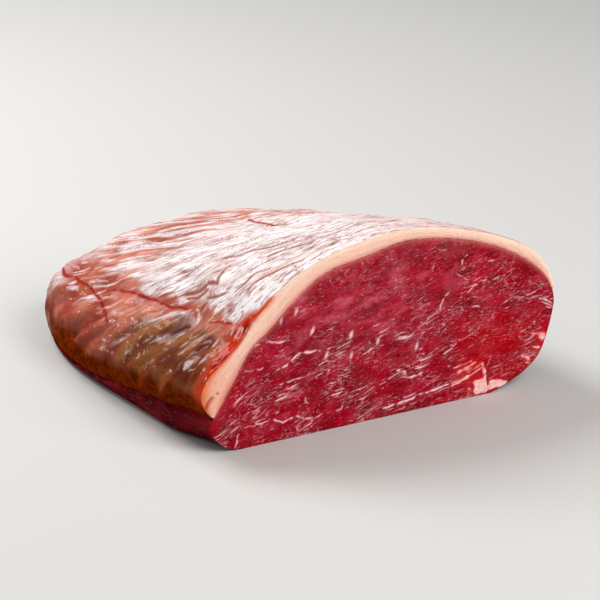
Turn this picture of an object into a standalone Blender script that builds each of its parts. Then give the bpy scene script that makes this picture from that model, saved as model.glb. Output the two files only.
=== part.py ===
"""Raw beef roasting joint, boneless, with one cut face and a cap of fat over its top and flanks.

Two pieces make the joint. The lean is one solid with a flat underside. The fat cap is a shell
that covers it from a low lip on the left, over the top, to halfway down the right flank.
Both are lofts: the outline of the cut face is carried back along the joint, and gets lower and
narrower on its way to the tip at the far end.

Frame: metres, +Z up. The cut face looks along -Y and the joint runs back along +Y. The origin
is under the middle of the joint, on the surface that the joint rests on.
"""

import math

import bmesh
import bpy
from mathutils import Vector, noise

MM = 0.001

# Overall sizes, in millimetres.
LENGTH = 215.0  # from the cut face to the tip
FACE_LEFT = -17.0  # the cut face's furthest points to the left and right
FACE_RIGHT = 173.0
FACE_TOP = 93.2
TIP_X = 41.0  # where the flanks meet at the far end
LIP_HEIGHT = 18.4  # the fat's lower edge on the left, at the cut face
LEAN_SHORTER = 6.0  # how much sooner the lean ends than the fat, at the tip
SEAM_GAP = 0.35  # clearance between the lean and the fat

# How the outline closes in towards the tip: size = (1 - share ** rise) ** fall.
HEIGHT_RISE = 1.03
HEIGHT_FALL = 0.344
RIGHT_RISE = 2.2
RIGHT_FALL = 0.66
# Behind the cut face the back is lower on its right, by this share of its height. The slope
# comes in over the first part of the length.
RIGHT_SLOPE = 0.093
RIGHT_SLOPE_RISE = 2.6
LEFT_RISE = 7.6
LEFT_FALL = 0.71

# Towards the tip the left shoulder gets fuller than it is at the cut face, and this share of the
# width takes part.
SHOULDER_FILL = 1.84
SHOULDER_REACH = 0.6

# The lip sinks from its height at the cut face to this, and follows the board to the tip.
LIP_LOW = 3.2
LIP_SINKS_OVER = 133.0
LIP_CLOSE_RISE = 9.0

# Behind the cut face the lip hangs further out, most at its own height, and the lean's lower left
# edge spreads out over the board below it.
LIP_SPREAD = 6.2
LIP_SPREAD_TOP = 42.0
HEEL_SPREAD = 14.0
SPREAD_OVER = 40.0
SPREAD_REACH = 60.0

# The left flank leans out further over this distance behind the cut face.
FLANK_BULGE = 10.9
FLANK_OVER = 140.0

# Outlines of the cut face, left to right over the top, as (x, z) in millimetres.
FAT_OUTLINE = (
    (-12.2, 19.4),
    (-15.6, 24.6),
    (-17.0, 31.0),
    (-13.4, 38.6),
    (-5.0, 45.6),
    (2.6, 52.0),
    (11.5, 63.6),
    (24.4, 75.8),
    (43.6, 86.0),
    (66.0, 91.4),
    (90.0, 93.2),
    (113.0, 89.6),
    (139.0, 81.4),
    (158.5, 71.4),
    (168.8, 59.8),
    (172.9, 48.6),
)
LEAN_OUTLINE = (
    (-10.4, 18.6),
    (-5.6, 26.0),
    (0.8, 36.6),
    (8.4, 48.8),
    (18.4, 57.0),
    (30.6, 68.2),
    (46.6, 78.8),
    (67.4, 83.4),
    (90.0, 87.2),
    (116.0, 83.6),
    (138.0, 76.2),
    (155.4, 66.4),
    (166.4, 56.8),
    (171.6, 48.0),
)
# The lean's bare lower part, from the right end of the fat down, under and back up to the lip.
FOOT_OUTLINE = (
    (171.6, 48.0),
    (173.0, 41.0),
    (170.4, 27.8),
    (165.6, 15.4),
    (157.0, 7.6),
    (146.0, 2.6),
    (138.0, 0.0),
)
HEEL_OUTLINE = (
    (2.0, 0.0),
    (-4.6, 2.4),
    (-10.4, 8.2),
    (-12.4, 14.0),
    (-10.4, 18.6),
)

# How finely the pieces are divided.
COLUMNS = 40  # along the outline that the fat covers
ROWS = 36  # from the cut face to the tip
FOOT_COLUMNS = 7
BASE_COLUMNS = 5
HEEL_COLUMNS = 5
ROW_BUNCHING = 1.3  # above 1 it sets rows closer at the cut face and at the tip

# Relief of the fat and of the bare flanks.
LUMP_SIZE = 19.0
LUMP_HEIGHT = 1.5
FOLD_PITCH = 21.0
FOLD_HEIGHT = 1.7
FOLD_WANDER = 22.0
FOLD_TOP = 58.0  # the folds hang on the left flank, below this height
QUIET_OVER = 14.0  # the relief grows from nothing to full over this distance from the cut face
FLANK_LUMP_HEIGHT = 0.9
THIN_MOST = -0.35  # a hollow takes at most this share of the fat's thickness
MERGE_DISTANCE = 1e-6


def smooth_step(value):
    """0 below 0, 1 above 1, and a smooth rise between."""
    share = min(1.0, max(0.0, value))
    return share * share * (3.0 - 2.0 * share)


def closing(share, rise, fall):
    """1 at the cut face, falling to 0 at the tip."""
    return max(0.0, 1.0 - share**rise) ** fall


def smooth_curve(points, steps):
    """steps + 1 evenly spaced points on a smooth curve through the named points."""
    fine = []
    padded = [points[0], *points, points[-1]]
    for i in range(len(points) - 1):
        before, start, end, after = (Vector(p) for p in padded[i : i + 4])
        for k in range(12):
            t = k / 12
            bend = (2 * before - 5 * start + 4 * end - after) * t * t
            twist = (3 * start - before - 3 * end + after) * t * t * t
            fine.append(start + 0.5 * ((end - before) * t + bend + twist))
    fine.append(Vector(points[-1]))
    reach = [0.0]
    for start, end in zip(fine, fine[1:]):
        reach.append(reach[-1] + (end - start).length)
    curve = []
    at = 0
    for i in range(steps + 1):
        wanted = reach[-1] * i / steps
        while at < len(reach) - 2 and reach[at + 1] < wanted:
            at += 1
        span = reach[at + 1] - reach[at]
        curve.append(fine[at].lerp(fine[at + 1], (wanted - reach[at]) / span))
    return curve


def lip_height(share):
    """Height of the fat's lower left edge at a share of the joint's length."""
    height = LIP_HEIGHT + (LIP_LOW - LIP_HEIGHT) * smooth_step(share * LENGTH / LIP_SINKS_OVER)
    return height * closing(share, LIP_CLOSE_RISE, 0.5)


def spread(x, z, distance):
    """How far the lower left edge lies further out at a distance behind the cut face."""
    lip = smooth_step(z / LIP_HEIGHT) * smooth_step((LIP_SPREAD_TOP - z) / (LIP_SPREAD_TOP - LIP_HEIGHT))
    heel = max(0.0, 1.0 - z / LIP_HEIGHT) ** 2
    widest = (LIP_SPREAD * lip + HEEL_SPREAD * heel) * (1.0 - smooth_step(x / SPREAD_REACH))
    return widest * smooth_step(distance / SPREAD_OVER)


def carry(x, z, share, length):
    """Carries the point (x, z) of the cut face's outline back to a share of the length."""
    distance = share * LENGTH
    left_end = FACE_LEFT - FLANK_BULGE * smooth_step(distance / FLANK_OVER)
    left = TIP_X + (left_end - TIP_X) * closing(share, LEFT_RISE, LEFT_FALL)
    right = TIP_X + (FACE_RIGHT - TIP_X) * closing(share, RIGHT_RISE, RIGHT_FALL)
    across = (x - FACE_LEFT) / (FACE_RIGHT - FACE_LEFT)
    further = spread(x, z, distance) * closing(share, LEFT_RISE, LEFT_FALL)
    lip = lip_height(share)
    top = lip + (FACE_TOP - lip) * closing(share, HEIGHT_RISE, HEIGHT_FALL)
    top *= closing(share, LIP_CLOSE_RISE, 0.5)
    if z < LIP_HEIGHT:
        height = lip * z / LIP_HEIGHT
    else:
        rise = (z - LIP_HEIGHT) / (FACE_TOP - LIP_HEIGHT)
        filled = SHOULDER_FILL * smooth_step(share) * (1.0 - smooth_step(across / SHOULDER_REACH))
        height = lip + (top - lip) * (rise + filled * rise * (1.0 - rise) ** 2)
        height *= 1.0 - RIGHT_SLOPE * smooth_step(RIGHT_SLOPE_RISE * share) * smooth_step(across)
    return Vector((left + (right - left) * across - further, share * length, height))


def share_of_row(row):
    """Share of the length for a row from 0 to 1, with rows closer at both ends."""
    return math.sin(math.pi / 2 * row**ROW_BUNCHING)


def relief(point, is_fat):
    """How far the surface stands out at a point, in millimetres: lumps all over the fat, and
    folds that hang down its left flank. It fades out at the cut face, the board and the tip."""
    fade = smooth_step(point.y / QUIET_OVER) * smooth_step((LENGTH - point.y) / QUIET_OVER)
    lumps = noise.noise(point / LUMP_SIZE)
    if not is_fat:
        return fade * FLANK_LUMP_HEIGHT * lumps
    left_flank = smooth_step((TIP_X - point.x) / TIP_X) * smooth_step((FOLD_TOP - point.z) / 20)
    wander = FOLD_WANDER * noise.noise(Vector((0.0, point.y, point.z)) / (2.5 * LUMP_SIZE))
    fold = math.sin(2 * math.pi * (point.y + 0.8 * point.z + wander) / FOLD_PITCH)
    fold *= 0.55 + 0.9 * noise.noise(point / (1.7 * LUMP_SIZE))
    return fade * (LUMP_HEIGHT * lumps + FOLD_HEIGHT * fold * left_flank)


def add_sheet(mesh, across, along, place):
    """Adds a grid of across x along faces. place gives the point for a pair of steps."""
    grid = bmesh.ops.create_grid(mesh, x_segments=across, y_segments=along, size=1.0)
    for vertex in grid["verts"]:
        column = round((vertex.co.x + 1) / 2 * across)
        row = round((vertex.co.y + 1) / 2 * along)
        vertex.co = place(column, row)


def finish_piece(name, mesh, collection, material):
    """Welds the sheets where they meet, turns the faces outwards and makes the object."""
    bmesh.ops.remove_doubles(mesh, verts=mesh.verts, dist=MERGE_DISTANCE / MM)
    bmesh.ops.dissolve_degenerate(mesh, edges=mesh.edges, dist=MERGE_DISTANCE / MM)
    bmesh.ops.triangulate(mesh, faces=mesh.faces, quad_method="SHORT_EDGE")
    bmesh.ops.recalc_face_normals(mesh, faces=mesh.faces)
    if mesh.calc_volume(signed=True) < 0:
        bmesh.ops.reverse_faces(mesh, faces=mesh.faces)
    bmesh.ops.scale(mesh, vec=(MM, MM, MM), verts=mesh.verts)
    data = bpy.data.meshes.new(name)
    mesh.to_mesh(data)
    mesh.free()
    data.materials.append(material)
    data.shade_smooth()
    data.set_sharp_from_angle(angle=math.radians(50))
    piece = bpy.data.objects.new(name, data)
    collection.objects.link(piece)
    return piece


def outward(points, row, column):
    """Direction away from the joint at a point of a table of rows, from its neighbours."""
    last_row = len(points) - 1
    last_column = len(points[0]) - 1
    before = points[row][max(0, column - 1)]
    after = points[row][min(last_column, column + 1)]
    nearer = points[max(0, row - 1)][column]
    further = points[min(last_row, row + 1)][column]
    normal = (after - before).cross(further - nearer)
    if row == last_row or normal.length < MERGE_DISTANCE:
        return Vector((0.0, 1.0, 0.0))
    if row == 0:
        normal.y = 0.0
    return normal.normalized()


def surface(outline, steps, length):
    """Table of points, rows from the cut face to the tip, for an outline carried back."""
    curve = smooth_curve(outline, steps)
    shares = [share_of_row(row / ROWS) for row in range(ROWS + 1)]
    return [[carry(p.x, p.y, share, length) for p in curve] for share in shares]


def raised(points, height_at):
    """The same table with each point moved outwards by height_at(point)."""
    return [
        [p + outward(points, r, c) * height_at(p) for c, p in enumerate(row)]
        for r, row in enumerate(points)
    ]


def make_material(name, colour, roughness):
    material = bpy.data.materials.new(name)
    material.use_nodes = True
    shader = material.node_tree.nodes["Principled BSDF"]
    shader.inputs["Base Color"].default_value = (*colour, 1.0)
    shader.inputs["Roughness"].default_value = roughness
    shader.inputs["Metallic"].default_value = 0.0
    return material


def build_lean(collection):
    """The lean: the part under the fat, the bare right flank, the base and the heel."""
    length = LENGTH - LEAN_SHORTER
    covered = surface(LEAN_OUTLINE, COLUMNS, length)
    flank = surface(FOOT_OUTLINE, FOOT_COLUMNS, length)
    flank = raised(flank, lambda p: relief(p, False) * smooth_step(p.z / 12))
    for row in range(ROWS + 1):
        flank[row][0] = covered[row][COLUMNS]
    heel = surface(HEEL_OUTLINE, HEEL_COLUMNS, length)
    base = surface((FOOT_OUTLINE[-1], HEEL_OUTLINE[0]), BASE_COLUMNS, length)
    mesh = bmesh.new()
    for table, steps in (
        (covered, COLUMNS),
        (flank, FOOT_COLUMNS),
        (base, BASE_COLUMNS),
        (heel, HEEL_COLUMNS),
    ):
        add_sheet(mesh, steps, ROWS, lambda column, row, t=table: t[row][column])
    bmesh.ops.remove_doubles(mesh, verts=mesh.verts, dist=MERGE_DISTANCE / MM)
    rim = [edge for edge in mesh.edges if edge.is_boundary]
    bmesh.ops.holes_fill(mesh, edges=rim, sides=0)
    material = make_material("lean beef", (0.38, 0.02, 0.045), 0.35)
    return finish_piece("lean_meat", mesh, collection, material)


def build_fat(collection):
    """The fat cap: its outer surface, the inner one over the lean, and the edges between."""
    lean = surface(LEAN_OUTLINE, COLUMNS, LENGTH - LEAN_SHORTER)
    inner = raised(lean, lambda p: SEAM_GAP)
    outer = surface(FAT_OUTLINE, COLUMNS, LENGTH)
    for r, (row, cover) in enumerate(zip(raised(outer, lambda p: 1.0), inner)):
        for c, (lifted, under) in enumerate(zip(row, cover)):
            out = lifted - outer[r][c]
            thickness = (outer[r][c] - under).dot(out)
            height = relief(outer[r][c], True) * smooth_step(outer[r][c].z / 30)
            outer[r][c] += out * max(height, THIN_MOST * thickness)
    mesh = bmesh.new()
    for table in (outer, inner):
        add_sheet(mesh, COLUMNS, ROWS, lambda column, row, t=table: t[row][column])
    walls = (inner, outer)
    add_sheet(mesh, COLUMNS, 1, lambda column, side: walls[side][0][column])
    add_sheet(mesh, ROWS, 1, lambda row, side: walls[side][row][0])
    add_sheet(mesh, ROWS, 1, lambda row, side: walls[side][row][COLUMNS])
    material = make_material("beef fat", (0.85, 0.58, 0.42), 0.4)
    return finish_piece("fat_cap", mesh, collection, material)


def centre_on_board(pieces):
    """Moves the pieces so that the origin is under the middle of the joint."""
    points = [vertex.co for piece in pieces for vertex in piece.data.vertices]
    middle = [(min(p[i] for p in points) + max(p[i] for p in points)) / 2 for i in (0, 1)]
    for piece in pieces:
        for vertex in piece.data.vertices:
            vertex.co -= Vector((*middle, 0.0))


def main():
    for existing in list(bpy.data.objects):
        bpy.data.objects.remove(existing)
    collection = bpy.data.collections.new("beef_joint")
    bpy.context.scene.collection.children.link(collection)
    centre_on_board([build_lean(collection), build_fat(collection)])


main()
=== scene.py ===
# %% [markdown]
# # A raw beef roasting joint
#
# The joint is one piece of lean meat under a cap of fat. One end is freshly cut, so the lean, its
# marbling and the thickness of the fat all show there. Everywhere else the fat lies under a thin
# glossy skin, the silverskin, or the lean is bare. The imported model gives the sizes, and the pieces
# below are built again over it with far finer surfaces.

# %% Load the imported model
import math

import bmesh
import bpy
import numpy as np
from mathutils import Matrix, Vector, noise


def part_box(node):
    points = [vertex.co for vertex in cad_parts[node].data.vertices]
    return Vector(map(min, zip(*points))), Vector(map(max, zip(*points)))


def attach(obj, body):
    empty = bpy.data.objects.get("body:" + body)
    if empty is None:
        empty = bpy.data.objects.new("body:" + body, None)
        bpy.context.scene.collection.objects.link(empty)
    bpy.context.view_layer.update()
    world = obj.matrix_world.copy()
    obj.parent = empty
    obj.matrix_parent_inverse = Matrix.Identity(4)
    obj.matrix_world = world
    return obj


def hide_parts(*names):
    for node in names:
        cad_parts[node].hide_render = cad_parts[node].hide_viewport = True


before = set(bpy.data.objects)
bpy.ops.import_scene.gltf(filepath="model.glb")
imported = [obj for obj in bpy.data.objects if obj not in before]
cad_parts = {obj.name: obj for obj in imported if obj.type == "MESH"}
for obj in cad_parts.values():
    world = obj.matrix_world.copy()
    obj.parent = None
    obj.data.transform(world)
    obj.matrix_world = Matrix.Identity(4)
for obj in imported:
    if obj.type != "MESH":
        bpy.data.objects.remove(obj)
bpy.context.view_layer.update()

# %% [markdown]
# ## The shape that everything follows
#
# A joint of meat has no straight edge except its cut face, so it could be sculpted by hand. It is
# easier to keep true to size as a loft: a few named points draw the cut face's outline, a curve
# runs through them, and a formula carries that outline back along the joint while it gets lower
# and narrower. These are the same points and formulas as the solids have, in millimetres, with x
# to the right, y back from the cut face and z up.

# %% Sizes of the joint
MM = 0.001
LENGTH = 215.0
FACE_LEFT = -17.0
FACE_RIGHT = 173.0
FACE_TOP = 93.2
TIP_X = 41.0
LIP_HEIGHT = 18.4
LEAN_SHORTER = 6.0
BASE_CORNER_X = 138.0

HEIGHT_RISE, HEIGHT_FALL = 1.03, 0.344
RIGHT_RISE, RIGHT_FALL = 2.2, 0.66
LEFT_RISE, LEFT_FALL = 7.6, 0.71
RIGHT_SLOPE, RIGHT_SLOPE_RISE = 0.093, 2.6
SHOULDER_FILL, SHOULDER_REACH = 1.84, 0.6
LIP_LOW, LIP_SINKS_OVER, LIP_CLOSE_RISE = 3.2, 133.0, 9.0
LIP_SPREAD, LIP_SPREAD_TOP, HEEL_SPREAD = 6.2, 42.0, 14.0
SPREAD_OVER, SPREAD_REACH = 40.0, 60.0
FLANK_BULGE, FLANK_OVER = 10.9, 140.0

# The outlines on the cut face, as (x, z) points.
FAT_OUTLINE = (
    (-12.2, 19.4), (-15.6, 24.6), (-17.0, 31.0), (-13.4, 38.6), (-5.0, 45.6), (2.6, 52.0),
    (11.5, 63.6), (24.4, 75.8), (43.6, 86.0), (66.0, 91.4), (90.0, 93.2), (113.0, 89.6),
    (139.0, 81.4), (158.5, 71.4), (168.8, 59.8), (172.9, 48.6),
)
LEAN_OUTLINE = (
    (-10.4, 18.6), (-5.6, 26.0), (0.8, 36.6), (8.4, 48.8), (18.4, 57.0), (30.6, 68.2), (46.6, 78.8),
    (67.4, 83.4), (90.0, 87.2), (116.0, 83.6), (138.0, 76.2), (155.4, 66.4), (166.4, 56.8),
    (171.6, 48.0),
)
FLANK_OUTLINE = (
    (171.6, 48.0), (173.0, 41.0), (170.4, 27.8), (165.6, 15.4), (157.0, 7.6), (146.0, 2.6),
    (138.0, 0.0),
)
BASE_OUTLINE = ((138.0, 0.0), (2.0, 0.0))
HEEL_OUTLINE = ((2.0, 0.0), (-4.6, 2.4), (-10.4, 8.2), (-12.4, 14.0), (-10.4, 18.6))

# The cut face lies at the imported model's front, and the base ends there at a sharp corner.
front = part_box("lean_meat")[0].y
face_corner = max(
    vertex.co.x
    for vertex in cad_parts["lean_meat"].data.vertices
    if abs(vertex.co.y - front) < 1e-5 and vertex.co.z < 1e-5
)
origin = np.array([face_corner / MM - BASE_CORNER_X, front / MM, 0.0])
print("the outline's corner is at", np.round(origin, 2), "mm in the packed model")

# %% Curves through the named points


def limited(value):
    """The value kept between 0 and 1."""
    return np.clip(value, 0.0, 1.0)


def eased(value):
    """A share from 0 to 1 that starts and ends softly."""
    share = limited(value)
    return share * share * (3.0 - 2.0 * share)


def smooth_curve(points, steps, crowd=0.0):
    """steps + 1 points on a smooth curve through the named points, even or crowded at its start."""
    points = np.array(points, float)
    padded = np.vstack([points[:1], points, points[-1:]])
    t = np.linspace(0.0, 1.0, 24, endpoint=False)[:, None]
    fine = []
    for before, start, end, after in zip(padded, padded[1:], padded[2:], padded[3:]):
        bend = (2 * before - 5 * start + 4 * end - after) * t * t
        twist = (3 * start - before - 3 * end + after) * t**3
        fine.append(start + 0.5 * ((end - before) * t + bend + twist))
    fine = np.vstack([*fine, points[-1:]])
    reach = np.concatenate([[0.0], np.cumsum(np.linalg.norm(np.diff(fine, axis=0), axis=1))])
    share = np.linspace(0.0, 1.0, steps + 1)
    wanted = reach[-1] * (share - crowd * share * (1.0 - share))
    return np.stack([np.interp(wanted, reach, fine[:, i]) for i in (0, 1)], axis=1)


# %% Carry an outline back along the joint


def closing(share, rise, fall):
    """1 at the cut face, falling to 0 at the tip."""
    return np.maximum(0.0, 1.0 - share**rise) ** fall


def spread(x, z, distance):
    """How far the lower left edge lies further out at a distance behind the cut face."""
    lip = eased(z / LIP_HEIGHT) * eased((LIP_SPREAD_TOP - z) / (LIP_SPREAD_TOP - LIP_HEIGHT))
    heel = np.maximum(0.0, 1.0 - z / LIP_HEIGHT) ** 2
    widest = (LIP_SPREAD * lip + HEEL_SPREAD * heel) * (1.0 - eased(x / SPREAD_REACH))
    return widest * eased(distance / SPREAD_OVER)


def carried(outline, steps, rows, length, crowd=0.0):
    """Table of points, rows from the cut face to the tip, for an outline of the cut face."""
    curve = smooth_curve(outline, steps, crowd)
    x, z = curve[None, :, 0], curve[None, :, 1]
    share = np.sin(math.pi / 2 * np.linspace(0.0, 1.0, rows + 1) ** 1.3)[:, None]
    distance = share * LENGTH
    left_end = FACE_LEFT - FLANK_BULGE * eased(distance / FLANK_OVER)
    left = TIP_X + (left_end - TIP_X) * closing(share, LEFT_RISE, LEFT_FALL)
    right = TIP_X + (FACE_RIGHT - TIP_X) * closing(share, RIGHT_RISE, RIGHT_FALL)
    across = (x - FACE_LEFT) / (FACE_RIGHT - FACE_LEFT)
    further = spread(x, z, distance) * closing(share, LEFT_RISE, LEFT_FALL)
    lip = LIP_HEIGHT + (LIP_LOW - LIP_HEIGHT) * eased(distance / LIP_SINKS_OVER)
    lip = lip * closing(share, LIP_CLOSE_RISE, 0.5)
    top = lip + (FACE_TOP - lip) * closing(share, HEIGHT_RISE, HEIGHT_FALL)
    top = top * closing(share, LIP_CLOSE_RISE, 0.5)
    rise = (z - LIP_HEIGHT) / (FACE_TOP - LIP_HEIGHT)
    filled = SHOULDER_FILL * eased(share) * (1.0 - eased(across / SHOULDER_REACH))
    above = lip + (top - lip) * (rise + filled * rise * (1.0 - rise) ** 2)
    above = above * (1.0 - RIGHT_SLOPE * eased(RIGHT_SLOPE_RISE * share) * eased(across))
    height = np.where(z < LIP_HEIGHT, lip * z / LIP_HEIGHT, above)
    table = np.empty((rows + 1, steps + 1, 3))
    table[..., 0] = left + (right - left) * across - further
    table[..., 1] = share * length
    table[..., 2] = height
    return table


def outward(table):
    """Directions away from the joint over a table of points."""
    normal = np.cross(np.gradient(table, axis=1), np.gradient(table, axis=0))
    normal[0, :, 1] = 0.0
    normal[-1] = (0.0, 1.0, 0.0)
    return normal / np.maximum(np.linalg.norm(normal, axis=2, keepdims=True), 1e-9)


# %% [markdown]
# ## Patterns that the surface and the colours share
#
# Meat is full of streaks: fibres and marbling in the lean, wrinkles in the silverskin. A streak
# could be an image, but an image has one resolution and needs a flat layout. Smooth noise stretched
# along one direction makes streaks at any size, and where the same streaks also move the surface,
# the light falls on them as on the real thing. Each pattern is therefore worked out once for each
# point, raises the surface there, and is stored on the mesh for the colours to read.

# %% Noise over a table of points


def noise_at(first, second, third=0.0):
    """Smooth noise between about -1 and 1 at the points with these three coordinates."""
    first, second, third = np.broadcast_arrays(first, second, third)
    spots = np.stack([first.ravel(), second.ravel(), third.ravel()], axis=1).tolist()
    values = np.fromiter((noise.noise(spot) for spot in spots), float, len(spots))
    return values.reshape(first.shape)


def streaks(along, across, length, width, layer):
    """Noise drawn out into streaks, about length long and width wide. Each layer differs."""
    return noise_at(along / length, across / width, 7.3 * layer)


def ridges(value, sharpness):
    """1 where the noise crosses 0, falling off to both sides: thin lines out of soft noise."""
    return limited(1.0 - np.abs(value) * sharpness)


def near_path(first, second, path):
    """Distance to a path and how far along it, from 0 to 1, for points with two coordinates."""
    best = np.full(np.shape(first), 1e9)
    share = np.zeros(np.shape(first))
    path = np.array(path, float)
    for i, (start, end) in enumerate(zip(path, path[1:])):
        run = end - start
        t = ((first - start[0]) * run[0] + (second - start[1]) * run[1]) / (run @ run)
        t = limited(t)
        gap = np.hypot(first - start[0] - t * run[0], second - start[1] - t * run[1])
        share = np.where(gap < best, (i + t) / (len(path) - 1), share)
        best = np.minimum(best, gap)
    return best, share


def bell(gap, width):
    """1 where the gap is 0, falling off softly over the width."""
    return np.exp(-((gap / width) ** 2))


def spot(first, second, centre, width, height=None):
    """A soft spot, 1 at its centre. It is round unless its height is given."""
    return bell(np.hypot((first - centre[0]) / width, (second - centre[1]) / (height or width)), 1.0)


# %% [markdown]
# ## From tables to a mesh
#
# A grid from bmesh is stretched over each table of points. The grids share their borders, so once
# the doubled points are merged the piece is one closed skin. A sheet that the other piece covers
# is kept plain in the middle: only its border edges are cut as finely as its neighbours'.

# %% Sheets
SHARP_ANGLE = 0.9
MERGE_WITHIN = 0.012
THINNEST_FACE = 0.0005


def layered_mesh(names):
    """A mesh whose points store a value under each name, 0 where none is given."""
    mesh = bmesh.new()
    for name in names.split():
        mesh.verts.layers.float.new(name)
    return mesh


def add_sheet(mesh, table, coarse=(1, 1), **values):
    """Adds a grid over a table of points, in millimetres, and stores the values on its points."""
    rows, columns = table.shape[0] - 1, table.shape[1] - 1
    layers = [
        (mesh.verts.layers.float[name], np.broadcast_to(numbers, table.shape[:2]))
        for name, numbers in values.items()
    ]
    across, along = coarse
    start = len(mesh.verts)
    bmesh.ops.create_grid(mesh, x_segments=columns // across, y_segments=rows // along, size=1.0)
    mesh.verts.ensure_lookup_table()
    edges = dict.fromkeys(edge for vertex in mesh.verts[start:] for edge in vertex.link_edges)
    border = [edge for edge in edges if edge.is_boundary]
    level = [edge for edge in border if abs(edge.verts[0].co.y - edge.verts[1].co.y) < 1e-6]
    upright = [edge for edge in border if edge not in level]
    if across > 1:
        bmesh.ops.bisect_edges(mesh, edges=level, cuts=across - 1)
    if along > 1:
        bmesh.ops.bisect_edges(mesh, edges=upright, cuts=along - 1)
    mesh.verts.ensure_lookup_table()
    for vertex in mesh.verts[start:]:
        column = round((vertex.co.x + 1) / 2 * columns)
        row = round((vertex.co.y + 1) / 2 * rows)
        vertex.co = table[row, column]
        for layer, numbers in layers:
            vertex[layer] = numbers[row, column]


def finish_piece(name, mesh, material, body, node):
    """Merges the sheets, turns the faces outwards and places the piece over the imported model."""
    bmesh.ops.remove_doubles(mesh, verts=mesh.verts, dist=MERGE_WITHIN)
    bmesh.ops.dissolve_degenerate(mesh, edges=mesh.edges, dist=THINNEST_FACE)
    bmesh.ops.recalc_face_normals(mesh, faces=mesh.faces)
    if mesh.calc_volume(signed=True) < 0:
        bmesh.ops.reverse_faces(mesh, faces=mesh.faces)
    for edge in mesh.edges:
        edge.smooth = edge.calc_face_angle(0.0) < SHARP_ANGLE
    open_edges = sum(edge.is_boundary for edge in mesh.edges)
    bmesh.ops.translate(mesh, vec=origin, verts=mesh.verts)
    bmesh.ops.scale(mesh, vec=(MM, MM, MM), verts=mesh.verts)
    data = bpy.data.meshes.new(name)
    mesh.to_mesh(data)
    mesh.free()
    data.materials.append(material)
    data.shade_smooth()
    piece = bpy.data.objects.new(name, data)
    bpy.context.scene.collection.objects.link(piece)
    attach(piece, body)
    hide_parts(node)
    triangles = sum(len(face.vertices) - 2 for face in data.polygons)
    print(f"{name}: {triangles} triangles, {open_edges} open edges")


# %% [markdown]
# ## The camera and the light
#
# The cut face is plane and upright and the base is level, so the photograph's own viewpoint can be
# solved from them: 28 degrees to the left of the face and 22 degrees above it, seen through a long
# lens. A large soft light behind and above the joint makes the wet silverskin shine towards the
# camera, and a second one at the front shows the lean. Two small low lights add the sharp glints of
# a wet surface. The floor and the surroundings are pale.

# %% Camera
IMAGE_WIDTH = 600
FOCAL_PIXELS = 2426.67
SENSOR_MM = 36.0
CAMERA_AZIMUTH = math.radians(-28.0)
CAMERA_ELEVATION = math.radians(22.0)
CAMERA_DISTANCE = 1.285
AIM_MM = (113.17, 149.31, 0.0)


def towards(azimuth, elevation):
    """Direction from the joint to a viewer. Azimuth 0 is in front of the cut face."""
    level = math.cos(elevation)
    return Vector((math.sin(azimuth) * level, -math.cos(azimuth) * level, math.sin(elevation)))


aim = Vector((np.array(AIM_MM) + origin) * MM)
view = towards(CAMERA_AZIMUTH, CAMERA_ELEVATION)
lens = bpy.data.cameras.new("camera")
lens.sensor_width = SENSOR_MM
lens.lens = FOCAL_PIXELS / IMAGE_WIDTH * SENSOR_MM
camera = bpy.data.objects.new("camera", lens)
camera.location = aim + view * CAMERA_DISTANCE
camera.rotation_euler = (-view).to_track_quat("-Z", "Y").to_euler()
bpy.context.scene.collection.objects.link(camera)
bpy.context.scene.camera = camera
print("camera at", [round(value, 3) for value in camera.location], "lens", round(lens.lens, 1), "mm")

# %% Soft lights and pale surroundings


def add_light(name, azimuth, elevation, distance, size, watts, colour):
    lamp = bpy.data.lights.new(name, "AREA")
    lamp.shape = "SQUARE"
    lamp.size = size
    lamp.energy = watts
    lamp.color = colour
    light = bpy.data.objects.new(name, lamp)
    direction = towards(math.radians(azimuth), math.radians(elevation))
    light.location = Vector((0.0, 0.0, 0.04)) + direction * distance
    light.rotation_euler = (-direction).to_track_quat("-Z", "Y").to_euler()
    bpy.context.scene.collection.objects.link(light)


add_light("back_softbox", 205.0, 48.0, 1.1, 0.6, 12.0, (1.0, 0.98, 0.97))
add_light("front_softbox", 20.0, 40.0, 1.3, 0.8, 13.0, (1.0, 0.97, 0.94))
add_light("low_back_light", 224.0, 18.0, 1.2, 0.16, 1.8, (1.0, 0.98, 0.96))
add_light("low_front_light", 32.0, 14.0, 1.3, 0.15, 2.0, (1.0, 0.97, 0.95))

world = bpy.data.worlds.new("pale surroundings")
world.use_nodes = True
world.node_tree.nodes["Background"].inputs["Color"].default_value = (0.88, 0.90, 0.93, 1.0)
world.node_tree.nodes["Background"].inputs["Strength"].default_value = 0.28
bpy.context.scene.world = world
bpy.context.scene.view_settings.view_transform = "Standard"

# %% [markdown]
# ## Helpers for the materials
#
# Each finish is a Principled shader whose colour is mixed in steps, from the broad tone to the
# finest mark. A few short functions add and join nodes, so that a material reads as that list of
# steps. Colours are written as they look on a screen, from 0 to 255, and a name in quotes stands
# for the value that the mesh stores under it.

# %% Node helpers


def paint(red, green, blue):
    """A screen colour as the linear colour that the shaders use."""
    shares = np.array([red, green, blue]) / 255.0
    linear = np.where(shares <= 0.04045, shares / 12.92, ((shares + 0.055) / 1.055) ** 2.4)
    return (*linear.tolist(), 1.0)


def fill(tree, node, inputs):
    """Sets inputs of a node, each to a number, another node's output or a stored value's name."""
    for name, value in inputs.items():
        if isinstance(value, str):
            stored = tree.nodes.new("ShaderNodeAttribute")
            stored.attribute_name = value
            value = stored.outputs["Fac"]
        if isinstance(value, bpy.types.NodeSocket):
            tree.links.new(value, node.inputs[name])
        else:
            node.inputs[name].default_value = value
    return node


def add_node(tree, kind, inputs=None, **settings):
    node = tree.nodes.new("ShaderNode" + kind)
    for name, value in settings.items():
        setattr(node, name, value)
    return fill(tree, node, inputs or {})


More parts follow.
